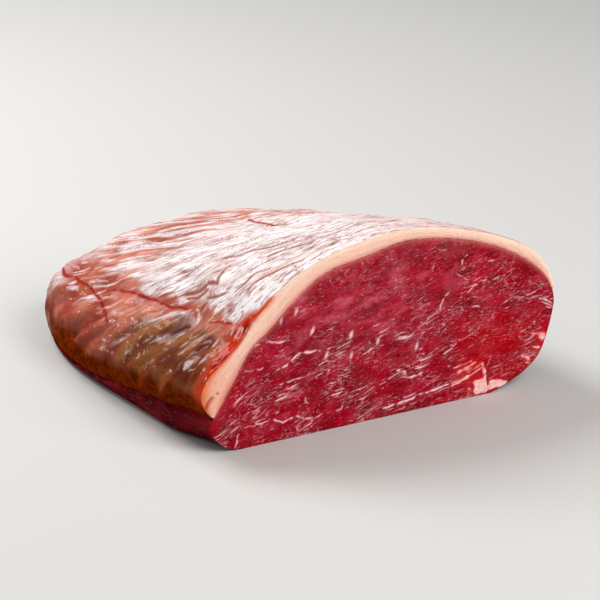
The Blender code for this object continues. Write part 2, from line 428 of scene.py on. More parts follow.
def maths(tree, operation, *values, clamp=False):
    inputs = dict(enumerate(values))
    return add_node(tree, "Math", inputs, operation=operation, use_clamp=clamp).outputs[0]


def times(tree, first, second, clamp=False):
    return maths(tree, "MULTIPLY", first, second, clamp=clamp)


def mixed(tree, share, first, second):
    """Colour between first and second, by a share from 0 to 1."""
    first, second = (paint(*tone) if isinstance(tone, tuple) else tone for tone in (first, second))
    return add_node(tree, "Mix", {0: share, 6: first, 7: second}, data_type="RGBA").outputs[2]


def painted(tree, colour, *coats):
    """Lays coats over a colour, in turn. Each is a share from 0 to 1 and a colour."""
    for share, coat in coats:
        colour = mixed(tree, share, colour, coat)
    return colour


def ranged(tree, value, low, high, out_low=0.0, out_high=1.0):
    """The value moved from one range to another, and kept within it."""
    inputs = {"Value": value, "From Min": low, "From Max": high, "To Min": out_low, "To Max": out_high}
    return add_node(tree, "MapRange", inputs, clamp=True).outputs[0]


def noise_node(tree, vector, size, detail=2.0, roughness=0.5, distortion=0.0):
    """Noise with features of about size metres."""
    inputs = {"Vector": vector, "Scale": 1.0 / size, "Detail": detail, "Roughness": roughness}
    inputs["Distortion"] = distortion
    return add_node(tree, "TexNoise", inputs).outputs["Fac"]


def new_material(name):
    material = bpy.data.materials.new(name)
    material.use_nodes = True
    tree = material.node_tree
    return material, tree, tree.nodes["Principled BSDF"]


# %% [markdown]
# Two effects are on both materials, so each is a group. Fibres are fine streaks along a given
# direction. The moist surface is a film that is nearly even and breaks into small beads and dull
# spots, and it sets how sharp the gloss is and adds the finest unevenness.

# %% Groups: fibres and moist surface


def new_group(name, inputs, outputs):
    """A shader node group, with the values that it is given and the node that takes its results."""
    tree = bpy.data.node_groups.new(name, "ShaderNodeTree")
    for in_out, names in (("INPUT", inputs), ("OUTPUT", outputs)):
        for socket in names:
            kind = "NodeSocketVector" if socket == "Vector" else "NodeSocketFloat"
            tree.interface.new_socket(name=socket, in_out=in_out, socket_type=kind)
    return tree, tree.nodes.new("NodeGroupInput").outputs, tree.nodes.new("NodeGroupOutput")


def fibres_group():
    names = ("Vector", "Length", "Width", "Threshold", "Line Width")
    tree, given, result = new_group("Fibres", names, ("Mask", "Lines", "Height"))
    per_length = maths(tree, "DIVIDE", 1.0, given["Length"])
    per_width = maths(tree, "DIVIDE", 1.0, given["Width"])
    drawn = add_node(tree, "CombineXYZ", {"X": per_length, "Y": per_width, "Z": per_width}).outputs[0]
    vector = add_node(tree, "VectorMath", {0: given["Vector"], 1: drawn}, operation="MULTIPLY")
    streak = noise_node(tree, vector.outputs[0], 1.0, detail=3.0, roughness=0.6, distortion=0.4)
    smooth = noise_node(tree, vector.outputs[0], 1.0, detail=1.0, roughness=0.4, distortion=0.3)
    mask = ranged(tree, streak, given["Threshold"], maths(tree, "ADD", given["Threshold"], 0.16))
    off_middle = maths(tree, "ABSOLUTE", maths(tree, "SUBTRACT", smooth, 0.5))
    off_line = maths(tree, "DIVIDE", off_middle, given["Line Width"])
    low = maths(tree, "SUBTRACT", given["Threshold"], 0.05)
    strong = ranged(tree, streak, low, given["Threshold"])
    line = times(tree, maths(tree, "SUBTRACT", 1.0, off_line, clamp=True), strong)
    fill(tree, result, {"Mask": mask, "Lines": line, "Height": streak})
    return tree


def moist_group():
    names = ("Gloss", "Bead Size")
    tree, given, result = new_group("Moist surface", names, ("Roughness", "Height"))
    place = add_node(tree, "TexCoord").outputs["Object"]
    per_bead = maths(tree, "DIVIDE", 1.0, given["Bead Size"])
    beads = add_node(tree, "TexNoise", {"Vector": place, "Scale": per_bead, "Detail": 3.0})
    film = noise_node(tree, place, 0.012, detail=3.0)
    dull = ranged(tree, film, 0.35, 0.7, -0.08, 0.14)
    roughness = maths(tree, "ADD", given["Gloss"], dull, clamp=True)
    fill(tree, result, {"Roughness": roughness, "Height": beads.outputs["Fac"]})
    return tree


fibres = fibres_group()
moist = moist_group()


def fibre_node(tree, vector, length, width, threshold, line_width):
    """The outputs of the fibres group, with lengths in metres."""
    inputs = {"Vector": vector, "Length": length, "Width": width, "Threshold": threshold}
    inputs["Line Width"] = line_width
    return add_node(tree, "Group", inputs, node_tree=fibres).outputs


def wet_surface(tree, gloss, bead, height, share):
    """The moist surface's roughness, and its height with a share of another height added."""
    wet = add_node(tree, "Group", {"Gloss": gloss, "Bead Size": bead}, node_tree=moist).outputs
    return wet["Roughness"], maths(tree, "MULTIPLY_ADD", height, share, wet["Height"])


print("groups:", fibres.name, "and", moist.name)

# %% [markdown]
# ## The fat cap
#
# On the real joint this is a layer of firm fat, thickest where it hangs over the left flank. Where
# it is cut it is smooth and creamy. Outside, the silverskin draws it into long wrinkles that follow
# the arch, and low on the flank it hangs in soft amber folds. The shape is a sheet over the outer
# table, a plain one over the lean, and narrow ones that close the edges.

# %% Fat: the outer surface and its relief
FAT_COLUMNS = 280
FAT_ROWS = 308
FAT_CROWD = 0.4
RIM_STEPS = 12
LUMP_SIZE, LUMP_HEIGHT = 19.0, 1.5
FOLD_PITCH, FOLD_HEIGHT, FOLD_WANDER, FOLD_TOP = 21.0, 1.7, 22.0, 58.0
QUIET_OVER = 14.0
THIN_MOST = -0.35
TOUCH_GAP = 0.05

fat = carried(FAT_OUTLINE, FAT_COLUMNS, FAT_ROWS, LENGTH, FAT_CROWD)
under = carried(LEAN_OUTLINE, FAT_COLUMNS, FAT_ROWS, LENGTH - LEAN_SHORTER, FAT_CROWD)
out = outward(fat)
thickness = np.sum((fat - under) * out, axis=2)
x, y, z = fat[..., 0], fat[..., 1], fat[..., 2]
steps_along_arch = np.linalg.norm(np.diff(fat, axis=1), axis=2)
arch = np.concatenate([np.zeros((FAT_ROWS + 1, 1)), np.cumsum(steps_along_arch, axis=1)], axis=1)

# The wrinkles follow the arch at the cut face and slant more and more behind it.
flow = y * np.exp(0.9 * np.tanh((np.minimum(arch, 115.0) - 70.0) / 75.0))

fade = eased(y / QUIET_OVER) * eased((LENGTH - y) / QUIET_OVER)
left_flank = eased((TIP_X - x) / TIP_X) * eased((FOLD_TOP - z) / 20.0)
wander = FOLD_WANDER * noise_at(0.0, y / (2.5 * LUMP_SIZE), z / (2.5 * LUMP_SIZE))
fold = np.sin(2 * math.pi * (y + 0.8 * z + wander) / FOLD_PITCH)
fold = fold * (0.55 + 0.9 * noise_at(*(value / (1.7 * LUMP_SIZE) for value in (x, y, z))))
lumps = LUMP_HEIGHT * noise_at(x / LUMP_SIZE, y / LUMP_SIZE, z / LUMP_SIZE)
large = fade * (lumps + FOLD_HEIGHT * fold * left_flank) * eased(z / 30.0)
print("fat: thickness", np.round([thickness[0].min(), thickness[0].max()], 1), "mm at the cut face")

# %% Fat: where the veins, the silverskin and the stains are
# Each path is a list of (arch, y): the distance over the arch from the lip, and from the cut face.
# Its width follows, and then a groove's depth or a ridge's height.
VEINS = (
    (((29, 186), (32, 169), (38, 146), (40, 130), (39, 120)), 0.9),
    (((39, 120), (44, 115), (46, 107), (48, 97), (48, 80), (47, 63), (48, 50)), 0.9),
    (((39, 120), (37, 111), (33, 103), (29, 96)), 0.9),
    (((46, 31), (48, 24), (49, 14)), 0.7),
    (((117, 94), (114, 80), (116, 72), (121, 67)), 0.7),
)
SLITS = (
    (((54, 64), (58, 58), (62, 51), (65, 45)), 1.8),
    (((53, 57), (56, 50), (60, 47)), 1.5),
    (((55, 62), (59, 55), (61, 50)), 3.0),
    (((56, 42), (58, 38), (61, 34)), 1.4),
    (((65, 45), (68, 47), (74, 49)), 0.6),
    (((70, 22), (77, 20), (84, 16), (94, 11)), 0.8),
    (((66, 29), (73, 27), (82, 23)), 0.6),
    (((80, 60), (84, 52), (90, 47), (96, 41), (105, 37)), 0.8),
    (((88, 33), (96, 29), (108, 24)), 0.7),
)
GROOVES = (
    (((15, 118), (18, 113), (24, 107), (29, 100)), 3.0, 1.5),
    (((16, 128), (16, 114)), 2.2, 0.9),
    (((19, 150), (27, 139), (31, 133)), 2.6, 0.9),
    (((33, 78), (27, 84), (20, 86)), 2.4, 0.9),
    (((12, 62), (20, 66), (30, 70)), 2.2, 0.8),
    (((9, 40), (20, 38), (30, 30)), 1.6, 0.6),
)
RIDGES = (
    (((35, 68), (38, 63), (42, 59), (46, 50)), 1.9, 1.1),
    (((10, 50), (14, 48), (18, 49), (25, 54)), 1.6, 0.9),
    (((5, 30), (9, 27), (18, 23), (27, 21)), 1.5, 0.9),
    (((14, 96), (20, 93), (27, 88)), 1.8, 0.8),
    (((8, 14), (18, 12), (30, 12)), 1.4, 0.6),
    (((4, 27), (7, 36), (11, 52), (13, 75), (14, 100)), 1.6, 0.8),
)
BLOOD_BAND = ((13, 0), (21, 0), (29, 2), (35, 3), (41, 5), (47, 6.5), (52, 5), (57, 2), (66, 0), (76, -1))
BLOOD_SPOTS = (((51, 4.0), 2.6), ((46, 8.0), 2.0), ((34, 2.6), 2.2), ((28, 3.0), 2.4), ((20, 0.5), 2.0))
SILVER_FROM = 50.0
SILVER_TO = 205.0
CORE_TO = 72.0
CALM_FROM_Y, CALM_FROM_ARCH = 140.0, 170.0

wobble = noise_at(arch / 9.0, y / 9.0, 3.0)
shiver = noise_at(arch / 3.0, y / 3.0, 4.0)


def marks(paths, waver=1.0):
    """Soft lines along paths over the fat's outer surface."""
    lines = np.zeros_like(arch)
    for path, width in paths:
        gap, share = near_path(arch + waver * (wobble + 0.4 * shiver), y + waver * wobble, path)
        taper = 0.35 + 0.65 * np.sqrt(limited(4.0 * share * (1.0 - share)))
        lines = np.maximum(lines, bell(gap, 0.7 + width * taper))
    return lines


# Towards the far end and down the right flank the skin is calmer and only blotched.
soft = noise_at(x / 13.0, y / 13.0, z / 9.0)
calm = eased((y - CALM_FROM_Y + 22.0 * soft + 22.0 * eased((arch - 75.0) / 40.0)) / 50.0)
calm = np.maximum(calm, eased((arch - CALM_FROM_ARCH + 20.0 * soft) / 45.0))

vein_line = marks(VEINS)
slit_line = marks(SLITS, 1.6)
wide_streaks = streaks(arch, flow, 40.0, 4.2, 1) * (1.0 - 0.8 * calm)
fine_streaks = streaks(arch, flow, 15.0, 1.9, 2) * (1.0 - 0.8 * calm)
wrinkle_breaks = eased(0.4 + 2.2 * streaks(arch, flow, 15.0, 6.0, 5)) * (1.0 - calm)
wrinkles = ridges(streaks(arch + 2.0 * wobble, flow + 1.2 * wobble, 15.0, 3.6, 4), 7.0) * wrinkle_breaks
wrinkles = np.maximum(wrinkles, 0.8 * ridges(streaks(arch, flow, 9.0, 2.6, 9), 6.0) * wrinkle_breaks)

jagged = 4.0 * noise_at(arch / 8.0, flow / 3.0, 11.0) + 7.0 * noise_at(arch / 40.0, y / 18.0, 12.0)
silver_zone = eased((arch - SILVER_FROM + jagged) / 4.0)
silver_zone = silver_zone * eased((SILVER_TO - arch + jagged) / 30.0)
slits = np.maximum(eased(1.5 * slit_line - 0.4), wrinkles * (0.2 + 0.8 * silver_zone))
behind_core = eased((y - CORE_TO + 25.0 * noise_at(arch / 30.0, y / 30.0, 13.0)) / 45.0)
patches = eased(0.5 + 2.2 * noise_at(arch / 11.0, flow / 8.0, 14.0) + 0.8 * wide_streaks)
# The silverskin is painted white, partly its own pale colour and partly a painted sheen, whitest in a
# core near the cut face and in streaks along the arch.
silver = (1.0 - behind_core) * (0.85 + 0.5 * wide_streaks) + behind_core * 0.75 * patches
silver = limited(silver + 0.2 * fine_streaks) * silver_zone
mottling_and_light = 0.42 + 0.3 * soft + 0.22 * noise_at(x / 4.0, y / 4.0, z / 3.0)
mottling_and_light = mottling_and_light + 0.2 * noise_at(x / 1.6, y / 1.9, z / 1.4)
# Painted light: the skin is painted lighter towards the left, where the back light falls.
mottling_and_light = mottling_and_light + 0.2 * eased((80.0 - arch) / 20.0)
silver = silver * (1.0 - calm) + calm * limited(mottling_and_light)

# Below the silverskin's edge it goes on in scattered shiny flecks, painted white: partly bits of skin,
# partly painted glints.
flakes_and_glints = eased(5.0 * (streaks(arch, flow, 6.5, 2.0, 15) - 0.16)) * eased((arch - 14.0) / 20.0)
flakes_and_glints = flakes_and_glints * (0.35 + 0.65 * eased(0.5 + 2.0 * noise_at(arch / 14.0, y / 16.0, 16.0)))
flakes_and_glints = flakes_and_glints * (1.0 - calm)
flake_and_glint_share = 0.3 + 0.4 * eased((y - 70.0) / 40.0)
silver = np.maximum(silver, flake_and_glint_share * flakes_and_glints * (1.0 - silver_zone) * eased((arch - 24.0) / 14.0))
# A painted highlight along the top of the first ridge.
ridge_highlight = bell(near_path(arch + wobble, y + wobble, RIDGES[0][0])[0], 1.6)
silver = np.maximum(silver, 0.8 * ridge_highlight)
silver = silver * (1.0 - 0.95 * slits) * (1.0 - vein_line)
# Painted shade: the silverskin's white is painted weaker towards the right, away from the light.
silver = silver * (1.0 - 0.35 * eased((arch - 115.0) / 50.0))

blood = np.zeros_like(arch)
for centre, radius in BLOOD_SPOTS:
    blood = np.maximum(blood, spot(arch + 1.5 * wobble + shiver, y + 1.5 * wobble, centre, radius))
band_gap, band_share = near_path(arch + 2.0 * wobble, y + 1.5 * wobble + shiver, BLOOD_BAND)
band_width = 5.8 - 4.2 * eased((band_share - 0.5) / 0.45)
stain = bell(band_gap, band_width) * eased((74.0 - arch) / 8.0)
redness = 0.5 + 1.3 * noise_at(arch / 14.0, y / 14.0, 17.0) + 0.5 * shiver
redness = limited(redness) * eased((64.0 - arch + jagged) / 14.0)
redness = redness * eased((y - 70.0) / 60.0) * (1.0 - 0.5 * eased((y - 150.0) / 30.0))
redness = np.maximum(redness, 0.8 * bell(y, 13.0))
redness = np.maximum(redness * (1.0 - silver_zone), 0.75 * marks([(p, 3.4) for p, width in VEINS[:3]]))
amber = 1.0 - eased((arch - 6.0 - 6.0 * eased((y - 90.0) / 50.0) - 3.0 * wobble) / 10.0)
olive = eased((y - 3.0) / 9.0) * (1.0 - eased((y - 62.0 - 12.0 * wobble) / 34.0))
olive = olive * eased((46.0 + 6.0 * wobble - arch) / 8.0)
flank_rolls = streaks(arch, flow, 14.0, 6.5, 6) + 0.3 * streaks(arch, flow, 6.0, 2.6, 7)
# Painted light and shade on the folds: lighter on their tops, darker in the hollows.
rolls = eased(0.5 + 1.3 * flank_rolls)
# Thin painted glints over the wet olive fat.
glints = eased(4.0 * (streaks(arch, flow, 9.0, 2.2, 19) - 0.24)) * eased((arch - 12.0) / 10.0)
silver = np.maximum(silver * (1.0 - 0.5 * olive), 0.42 * olive * glints)
silver = silver * (1.0 - stain) * (1.0 - 0.7 * amber)
print("fat: silverskin covers", round(100 * float(silver.mean())), "% of the outer surface")

# %% Fat: raise the fine relief
on_flank = eased((SILVER_FROM - arch) / 12.0)
beads = noise_at(arch / 2.6, y / 2.2, 18.0)
fine = (
    0.34 * wide_streaks
    + 0.14 * fine_streaks
    - 0.4 * slits * (0.4 + 0.6 * silver_zone)
    + on_flank * (1.1 * flank_rolls + 0.2 * beads) * (1.0 - 0.85 * amber)
    + 0.10 * shiver
    - 0.15 * vein_line
    + 0.12 * flakes_and_glints * on_flank
)
for path, width, depth in GROOVES:
    fine = fine - depth * bell(near_path(arch + 2 * wobble, y + 2 * wobble, path)[0], width)
for path, width, rise in RIDGES:
    fine = fine + rise * bell(near_path(arch + wobble, y + wobble, path)[0], width)
near_cut = eased(y / 3.0)
near_tip = eased((LENGTH - y) / 6.0)
edge_drop = 0.35 * limited(1.0 - y / 1.2) ** 2
height = np.maximum(large + fine * near_cut * near_tip, THIN_MOST * thickness) - edge_drop
fat = fat + out * height[..., None]
fat[..., 2] = np.maximum(fat[..., 2], 0.0)
print("fat: relief from", round(float(height.min()), 2), "to", round(float(height.max()), 2), "mm")

# %% Fat: the cut section, the lip and the side that lies on the lean
RIM_BULGE = 0.3

lean_side = under + outward(under) * TOUCH_GAP
t = np.linspace(0.0, 1.0, RIM_STEPS + 1)[:, None, None]
rim = lean_side[0][None] * (1.0 - t) + fat[0][None] * t
t = t[..., 0]
rim_arch = np.broadcast_to(arch[0], rim.shape[:2])
grain = streaks(rim_arch, t * thickness[0], 14.0, 1.4, 8)
rim[..., 1] = -(RIM_BULGE + 0.1 * grain) * np.sin(math.pi * t) * eased(thickness[0] / 4.0)

CRACK = ((5.0, 1.0), (6.6, 0.84), (9.4, 0.7), (12.0, 0.56))
crack_gap = near_path(rim_arch, 12.0 * t, [(a, 12.0 * share) for a, share in CRACK])[0]
crack = bell(crack_gap, 1.2 - 0.45 * eased((rim_arch - 5.0) / 7.0))
red_dot = spot(rim_arch, 12.0 * t, (14.4, 4.8), 0.7)
rim[..., 1] += 0.5 * crack * np.sin(math.pi * t)
rim[:, 0, 1] = rim[:, -1, 1] = 0.0


def edge_strip(column, bulge):
    """Sheet from the lean side to the outer surface along a lower edge of the fat."""
    t = np.linspace(0.0, 1.0, RIM_STEPS + 1)[None, :, None]
    strip = lean_side[:, column][:, None] * (1.0 - t) + fat[:, column][:, None] * t
    swell = np.sin(math.pi * t[..., 0]) * bulge * eased(fat[:, column, 1][:, None] / 4.0)
    strip[..., 2] -= swell * eased(fat[:, column, 2][:, None] / 8.0)
    return strip


lip = edge_strip(0, 0.8)
right_edge = edge_strip(FAT_COLUMNS, 0.2)

# %% Fat: assemble the sheets
fat_mesh = layered_mesh(
    "arch flow silver blood stain amber vein slit section depth olive redness rolls calm"
)
add_sheet(
    fat_mesh,
    fat,
    arch=arch * MM,
    flow=flow * MM,
    silver=silver,
    blood=blood,
    stain=stain,
    amber=amber,
    vein=vein_line,
    slit=slits,
    olive=olive,
    redness=redness,
    rolls=rolls,
    calm=calm,
    section=limited(1.0 - y / 0.5),
    depth=1.0,
)
add_sheet(
    fat_mesh,
    rim,
    arch=rim_arch * MM,
    flow=t * thickness[0] * MM,
    vein=np.maximum(crack, red_dot),
    section=1.0,
    depth=t,
    stain=0.8 * eased((t - 0.7) / 0.3) * stain[0],
)
add_sheet(fat_mesh, lean_side, (4, 4), arch=arch * MM, flow=flow * MM, depth=0.5)
for strip, column, coarse in ((lip, 0, (3, 1)), (right_edge, FAT_COLUMNS, (6, 1))):
    add_sheet(
        fat_mesh,
        strip,
        coarse,
        arch=arch[:, column, None] * MM,
        flow=flow[:, column, None] * MM,
        amber=1.0 if column == 0 else 0.0,
        depth=1.0,
    )

# %% [markdown]
# ### The finish of the fat
#
# Fat isn't one colour: it is cream where it is cut, salmon pink where the silverskin presses on it,
# olive brown low beside the cut, amber where it is thin and old, and red where blood has soaked
# in. Some of the colour is painted light: a painted sheen and glints on the silverskin, lighter
# tops and painted shade between the folds, and painted shade low on the flank. One shader holds
# them all, because they run into each other with no edge. Light enters fat and comes out again a
# few millimetres away, so the shader has subsurface scattering, and a clear coat makes it wet.

# %% Material: beef fat


def beef_fat_material():
    material, tree, shader = new_material("beef fat")
    place = add_node(tree, "TexCoord").outputs["Object"]
    surface = add_node(tree, "CombineXYZ", {"X": "arch", "Y": "flow"}).outputs[0]
    broad = noise_node(tree, place, 0.020, detail=3.0)
    small = noise_node(tree, place, 0.0035, detail=4.0, roughness=0.6)
    wrinkle = fibre_node(tree, surface, 0.011, 0.0026, 0.5, 0.06)
    thread = fibre_node(tree, surface, 0.006, 0.0012, 0.5, 0.07)

    lively = ranged(tree, "calm", 0.0, 1.0, 1.0, 0.25)
    # Olive fat, painted lighter on the tops of the folds and darker in the hollows.
    brown = mixed(tree, "rolls", (80, 26, 6), (136, 86, 42))
    # The amber fat is painted darker towards its lower edge and the lip, where it turns under: partly its
    # own colour, partly painted shade.
    amber_and_shade = mixed(tree, ranged(tree, small, 0.4, 0.62), (88, 26, 0), (130, 46, 3))
    amber_and_shade = mixed(tree, ranged(tree, "amber", 0.8, 0.3), amber_and_shade, (142, 52, 8))
    cracked = times(tree, times(tree, wrinkle["Lines"], lively), 0.72)
    whole = maths(tree, "SUBTRACT", 1.0, cracked)
    outside = painted(
        tree,
        mixed(tree, ranged(tree, broad, 0.36, 0.64), (164, 78, 60), (206, 124, 104)),
        (times(tree, times(tree, thread["Mask"], lively), 0.28), (214, 148, 124)),
        # Darker reddish brown low on the left flank: partly the fat's own colour, partly painted shade.
        (ranged(tree, "arch", 0.040, 0.016, 0.0, 0.7), (124, 50, 22)),
        (times(tree, "olive", 0.85), brown),
        (times(tree, "redness", 0.6), (146, 34, 14)),
        ("amber", amber_and_shade),
        (times(tree, "slit", 0.9), (130, 60, 38)),
        # Silverskin white with its painted sheen and glints.
        (times(tree, times(tree, "silver", 1.2, True), whole, True), (234, 229, 231)),
        (times(tree, cracked, "silver"), (152, 98, 78)),
        ("stain", (196, 46, 6)),
        ("blood", (126, 8, 2)),
        (ranged(tree, "vein", 0.6, 1.0), (152, 28, 14)),
    )
    low = ranged(tree, "arch", 0.040, 0.012, 0.0, 0.9)
    section = painted(
        tree,
        mixed(tree, ranged(tree, "depth", 0.0, 0.3), (214, 130, 124), (238, 194, 172)),
        (ranged(tree, "depth", 0.5, 1.0), (246, 216, 198)),
        (times(tree, low, ranged(tree, "depth", 0.45, 0.95, 0.3, 1.0)), (218, 112, 62)),
        (times(tree, thread["Mask"], 0.3), (232, 170, 146)),
        ("stain", (226, 110, 56)),
        ("vein", (176, 40, 28)),
    )

    roughness, relief = wet_surface(tree, 0.3, 0.0016, thread["Height"], 0.35)
    relief = maths(tree, "SUBTRACT", relief, times(tree, cracked, 0.6))
    relief = times(tree, relief, ranged(tree, "amber", 0.0, 1.0, 1.0, 0.25))
    bump = add_node(tree, "Bump", {"Height": relief, "Strength": 0.7, "Distance": 0.0006})
    finish = {
        "Base Color": mixed(tree, "section", outside, section),
        "Roughness": roughness,
        "Normal": bump.outputs["Normal"],
        "Subsurface Weight": 0.2,
        "Subsurface Radius": (1.0, 0.45, 0.25),
        "Subsurface Scale": 0.0015,
        "Coat Weight": ranged(tree, "amber", 0.0, 1.0, 0.22, 0.0),
        "Coat Roughness": 0.1,
        "Specular IOR Level": 0.0,
    }
    fill(tree, shader, finish)
    return material


finish_piece("silverskin_and_fat", fat_mesh, beef_fat_material(), "root", "fat_cap")

# %% [markdown]
# ## The lean
#
# The cut face is a single muscle cut across its fibres. It is built as one fine grid between the
# four sides of its outline, so that marbling can be raised and coloured on it point by point. The
# rest of the lean is carried back from the same outline: bare on the right flank and the heel,
# flat underneath, and plain where the fat lies on it.

# %% Lean: the sheets behind the cut face
FACE_COLUMNS = 336
FACE_ROWS = 184
LEAN_ROWS = 160
FLANK_LUMP_HEIGHT = 0.9
SOFT_EDGE = 0.4

lean_length = LENGTH - LEAN_SHORTER
covered = carried(LEAN_OUTLINE, FACE_COLUMNS, LEAN_ROWS, lean_length)
flank = carried(FLANK_OUTLINE, FACE_ROWS, LEAN_ROWS, lean_length)
base = carried(BASE_OUTLINE, FACE_COLUMNS, LEAN_ROWS, lean_length)
heel = carried(HEEL_OUTLINE, FACE_ROWS, LEAN_ROWS, lean_length)

flank_fade = eased(flank[..., 1] / QUIET_OVER)
flank_fade = flank_fade * eased((LENGTH - flank[..., 1]) / QUIET_OVER)
flank_fade = flank_fade * eased(flank[..., 2] / 12.0)
flank_noise = noise_at(*(flank[..., i] / LUMP_SIZE for i in range(3)))
flank_grain = streaks(flank[..., 1], flank[..., 2], 26.0, 2.6, 9)
column_share = np.linspace(0.0, 1.0, FACE_ROWS + 1)[None, :]
flank_relief = FLANK_LUMP_HEIGHT * flank_noise + 0.35 * flank_grain * eased(column_share / 0.1)
flank = flank + outward(flank) * (flank_fade * flank_relief)[..., None]
sinew = ridges(streaks(flank[..., 1] + 0.4 * flank[..., 2], flank[..., 2], 26.0, 4.5, 33), 8.0)
sinew = sinew * eased(0.5 + 2.0 * noise_at(flank[..., 1] / 18.0, flank[..., 2] / 9.0, 34.0)) * flank_fade
flank[:, 0] = covered[:, -1]

# Away from the fat the cut edge is a little rounded.
flank[0, :, 1] = SOFT_EDGE * eased(column_share[0] / 0.08)
heel[0, :, 1] = SOFT_EDGE * eased((1.0 - column_share[0]) / 0.2)
base[0, :, 1] = SOFT_EDGE
print("lean: the flank's relief is up to", round(float(np.abs(flank_relief).max()), 2), "mm")

# %% Lean: the grid of the cut face
bottom_side, top_side = base[0, ::-1], covered[0]
left_side, right_side = heel[0], flank[0, ::-1]
u = np.linspace(0.0, 1.0, FACE_COLUMNS + 1)[None, :, None]
v = np.linspace(0.0, 1.0, FACE_ROWS + 1)[:, None, None]
corners = (
    (1 - u) * (1 - v) * bottom_side[0]
    + u * (1 - v) * bottom_side[-1]
    + (1 - u) * v * top_side[0]
    + u * v * top_side[-1]
)
face = (1 - v) * bottom_side[None] + v * top_side[None]
face = face + (1 - u) * left_side[:, None] + u * right_side[:, None] - corners
face_x, face_z = face[..., 0], face[..., 2]
edge_gap = np.minimum(
    np.minimum(
        np.linalg.norm((face - left_side[:, None])[..., ::2], axis=2),
        np.linalg.norm((face - right_side[:, None])[..., ::2], axis=2),
    ),
    face_z,
)
top_gap = np.linalg.norm((face - top_side[None])[..., ::2], axis=2)
print("lean: the cut face is", np.round(np.ptp(face_x), 1), "by", np.round(np.ptp(face_z), 1), "mm")

# %% Lean: marbling, veils and the pocket of fat
# Each path is a list of (x, z) on the cut face. Its width and its strength follow.
PALE_LINES = (
    (((7, 51), (11, 50.8), (18, 50.7), (23, 49.6), (28, 49.7)), 0.55, 0.9),
    (((22, 36), (28, 38.4), (33.5, 42.4), (39.5, 41.9), (45.5, 41), (50.5, 41.5)), 0.6, 0.95),
    (((23.6, 28.7), (28.2, 29), (32.2, 29.8), (36.5, 29.5)), 0.5, 0.8),
    (((3, 39.8), (8.6, 38.2), (13.1, 38.2), (15.5, 39)), 0.45, 0.7),
    (
        ((19.9, 12), (21.5, 9.8), (24.8, 8.8), (28.2, 10.7), (32.2, 10.4), (36.9, 8.1), (41.2, 7.8)),
        0.6,
        0.9,
    ),
    (((10.5, 11.5), (14.5, 11)), 0.6, 0.7),
    (((-0.5, 0.5), (1.1, 4.3), (1.8, 8)), 0.5, 0.8),
    (((24.2, 27.8), (25.2, 24.8), (25.5, 22)), 0.6, 0.5),
    (((52.4, 8.5), (55.8, 9.6), (56.8, 12.5)), 0.5, 0.6),
    (((36.9, 20), (36.9, 17.2), (39.5, 14.5)), 0.45, 0.7),
    (((65, 0.5), (67.8, 1.7)), 0.5, 0.8),
    (((70, 48.5), (75.1, 48.6), (79.2, 49.1), (83.5, 49.3)), 0.5, 0.6),
    (((78, 4.5), (86.3, 5.6), (91.1, 6.2), (101, 8), (108.3, 9), (116.5, 9.6), (120, 10.5)), 0.8, 1.0),
    (((84, 2), (92, 3.5), (100, 4)), 0.4, 0.5),
    (((76.5, 17.5), (84.4, 20.6), (90, 24.2)), 0.5, 0.6),
    (((86, 23.5), (91.5, 19.7), (94, 17)), 1.1, 0.85),
    (((90, 18.2), (96, 18.2), (100.5, 19)), 0.8, 0.9),
    (((108.8, 47.5), (108.9, 51.5), (111.3, 55.9), (114, 58)), 0.45, 0.75),
    (((119.7, 69.5), (120.4, 72.6), (123, 74.5)), 0.45, 0.7),
    (((103.3, 70), (104.8, 72.4)), 0.45, 0.6),
    (((123, 54.8), (126.9, 58.3), (134, 60)), 0.35, 0.8),
    (((141.5, 44.5), (148.6, 48.1), (153.5, 51)), 0.35, 0.7),
    (((123, 48.4), (130.8, 46.8)), 0.5, 0.7),
    (((133.5, 68.6), (139, 69.9)), 0.5, 0.7),
    (((116, 65.8), (123, 62)), 0.5, 0.6),
    (((164.5, 44.6), (168, 43.2), (172, 41)), 0.6, 0.8),
    (((166, 42.4), (169, 41), (172.4, 38.8)), 0.5, 0.7),
    (((168, 39.6), (171.6, 38)), 0.5, 0.6),
    (((134.5, 12.5), (137, 18), (140, 24)), 0.5, 0.5),
)
PALE_BLOTS = (
    *(((31.9, 63), 0.7), ((40.1, 51.9), 0.85), ((60.6, 46), 0.85), ((74.9, 39.9), 0.75)),
    *(((47.5, 38.3), 0.8), ((60.7, 35.7), 0.7), ((96, 33), 0.8), ((24, 60), 0.6)),
)
# Each area has a centre, a width, a height and its strength.
RED_AREAS = (
    ((141, 28), 22.0, 11.0, 0.8),
    ((129, 19), 9.0, 4.0, 1.0),
    ((128, 11), 8.0, 8.0, 1.0),
    ((168, 21), 5.0, 9.0, 1.0),
    ((149, 11), 12.0, 6.0, 0.7),
)
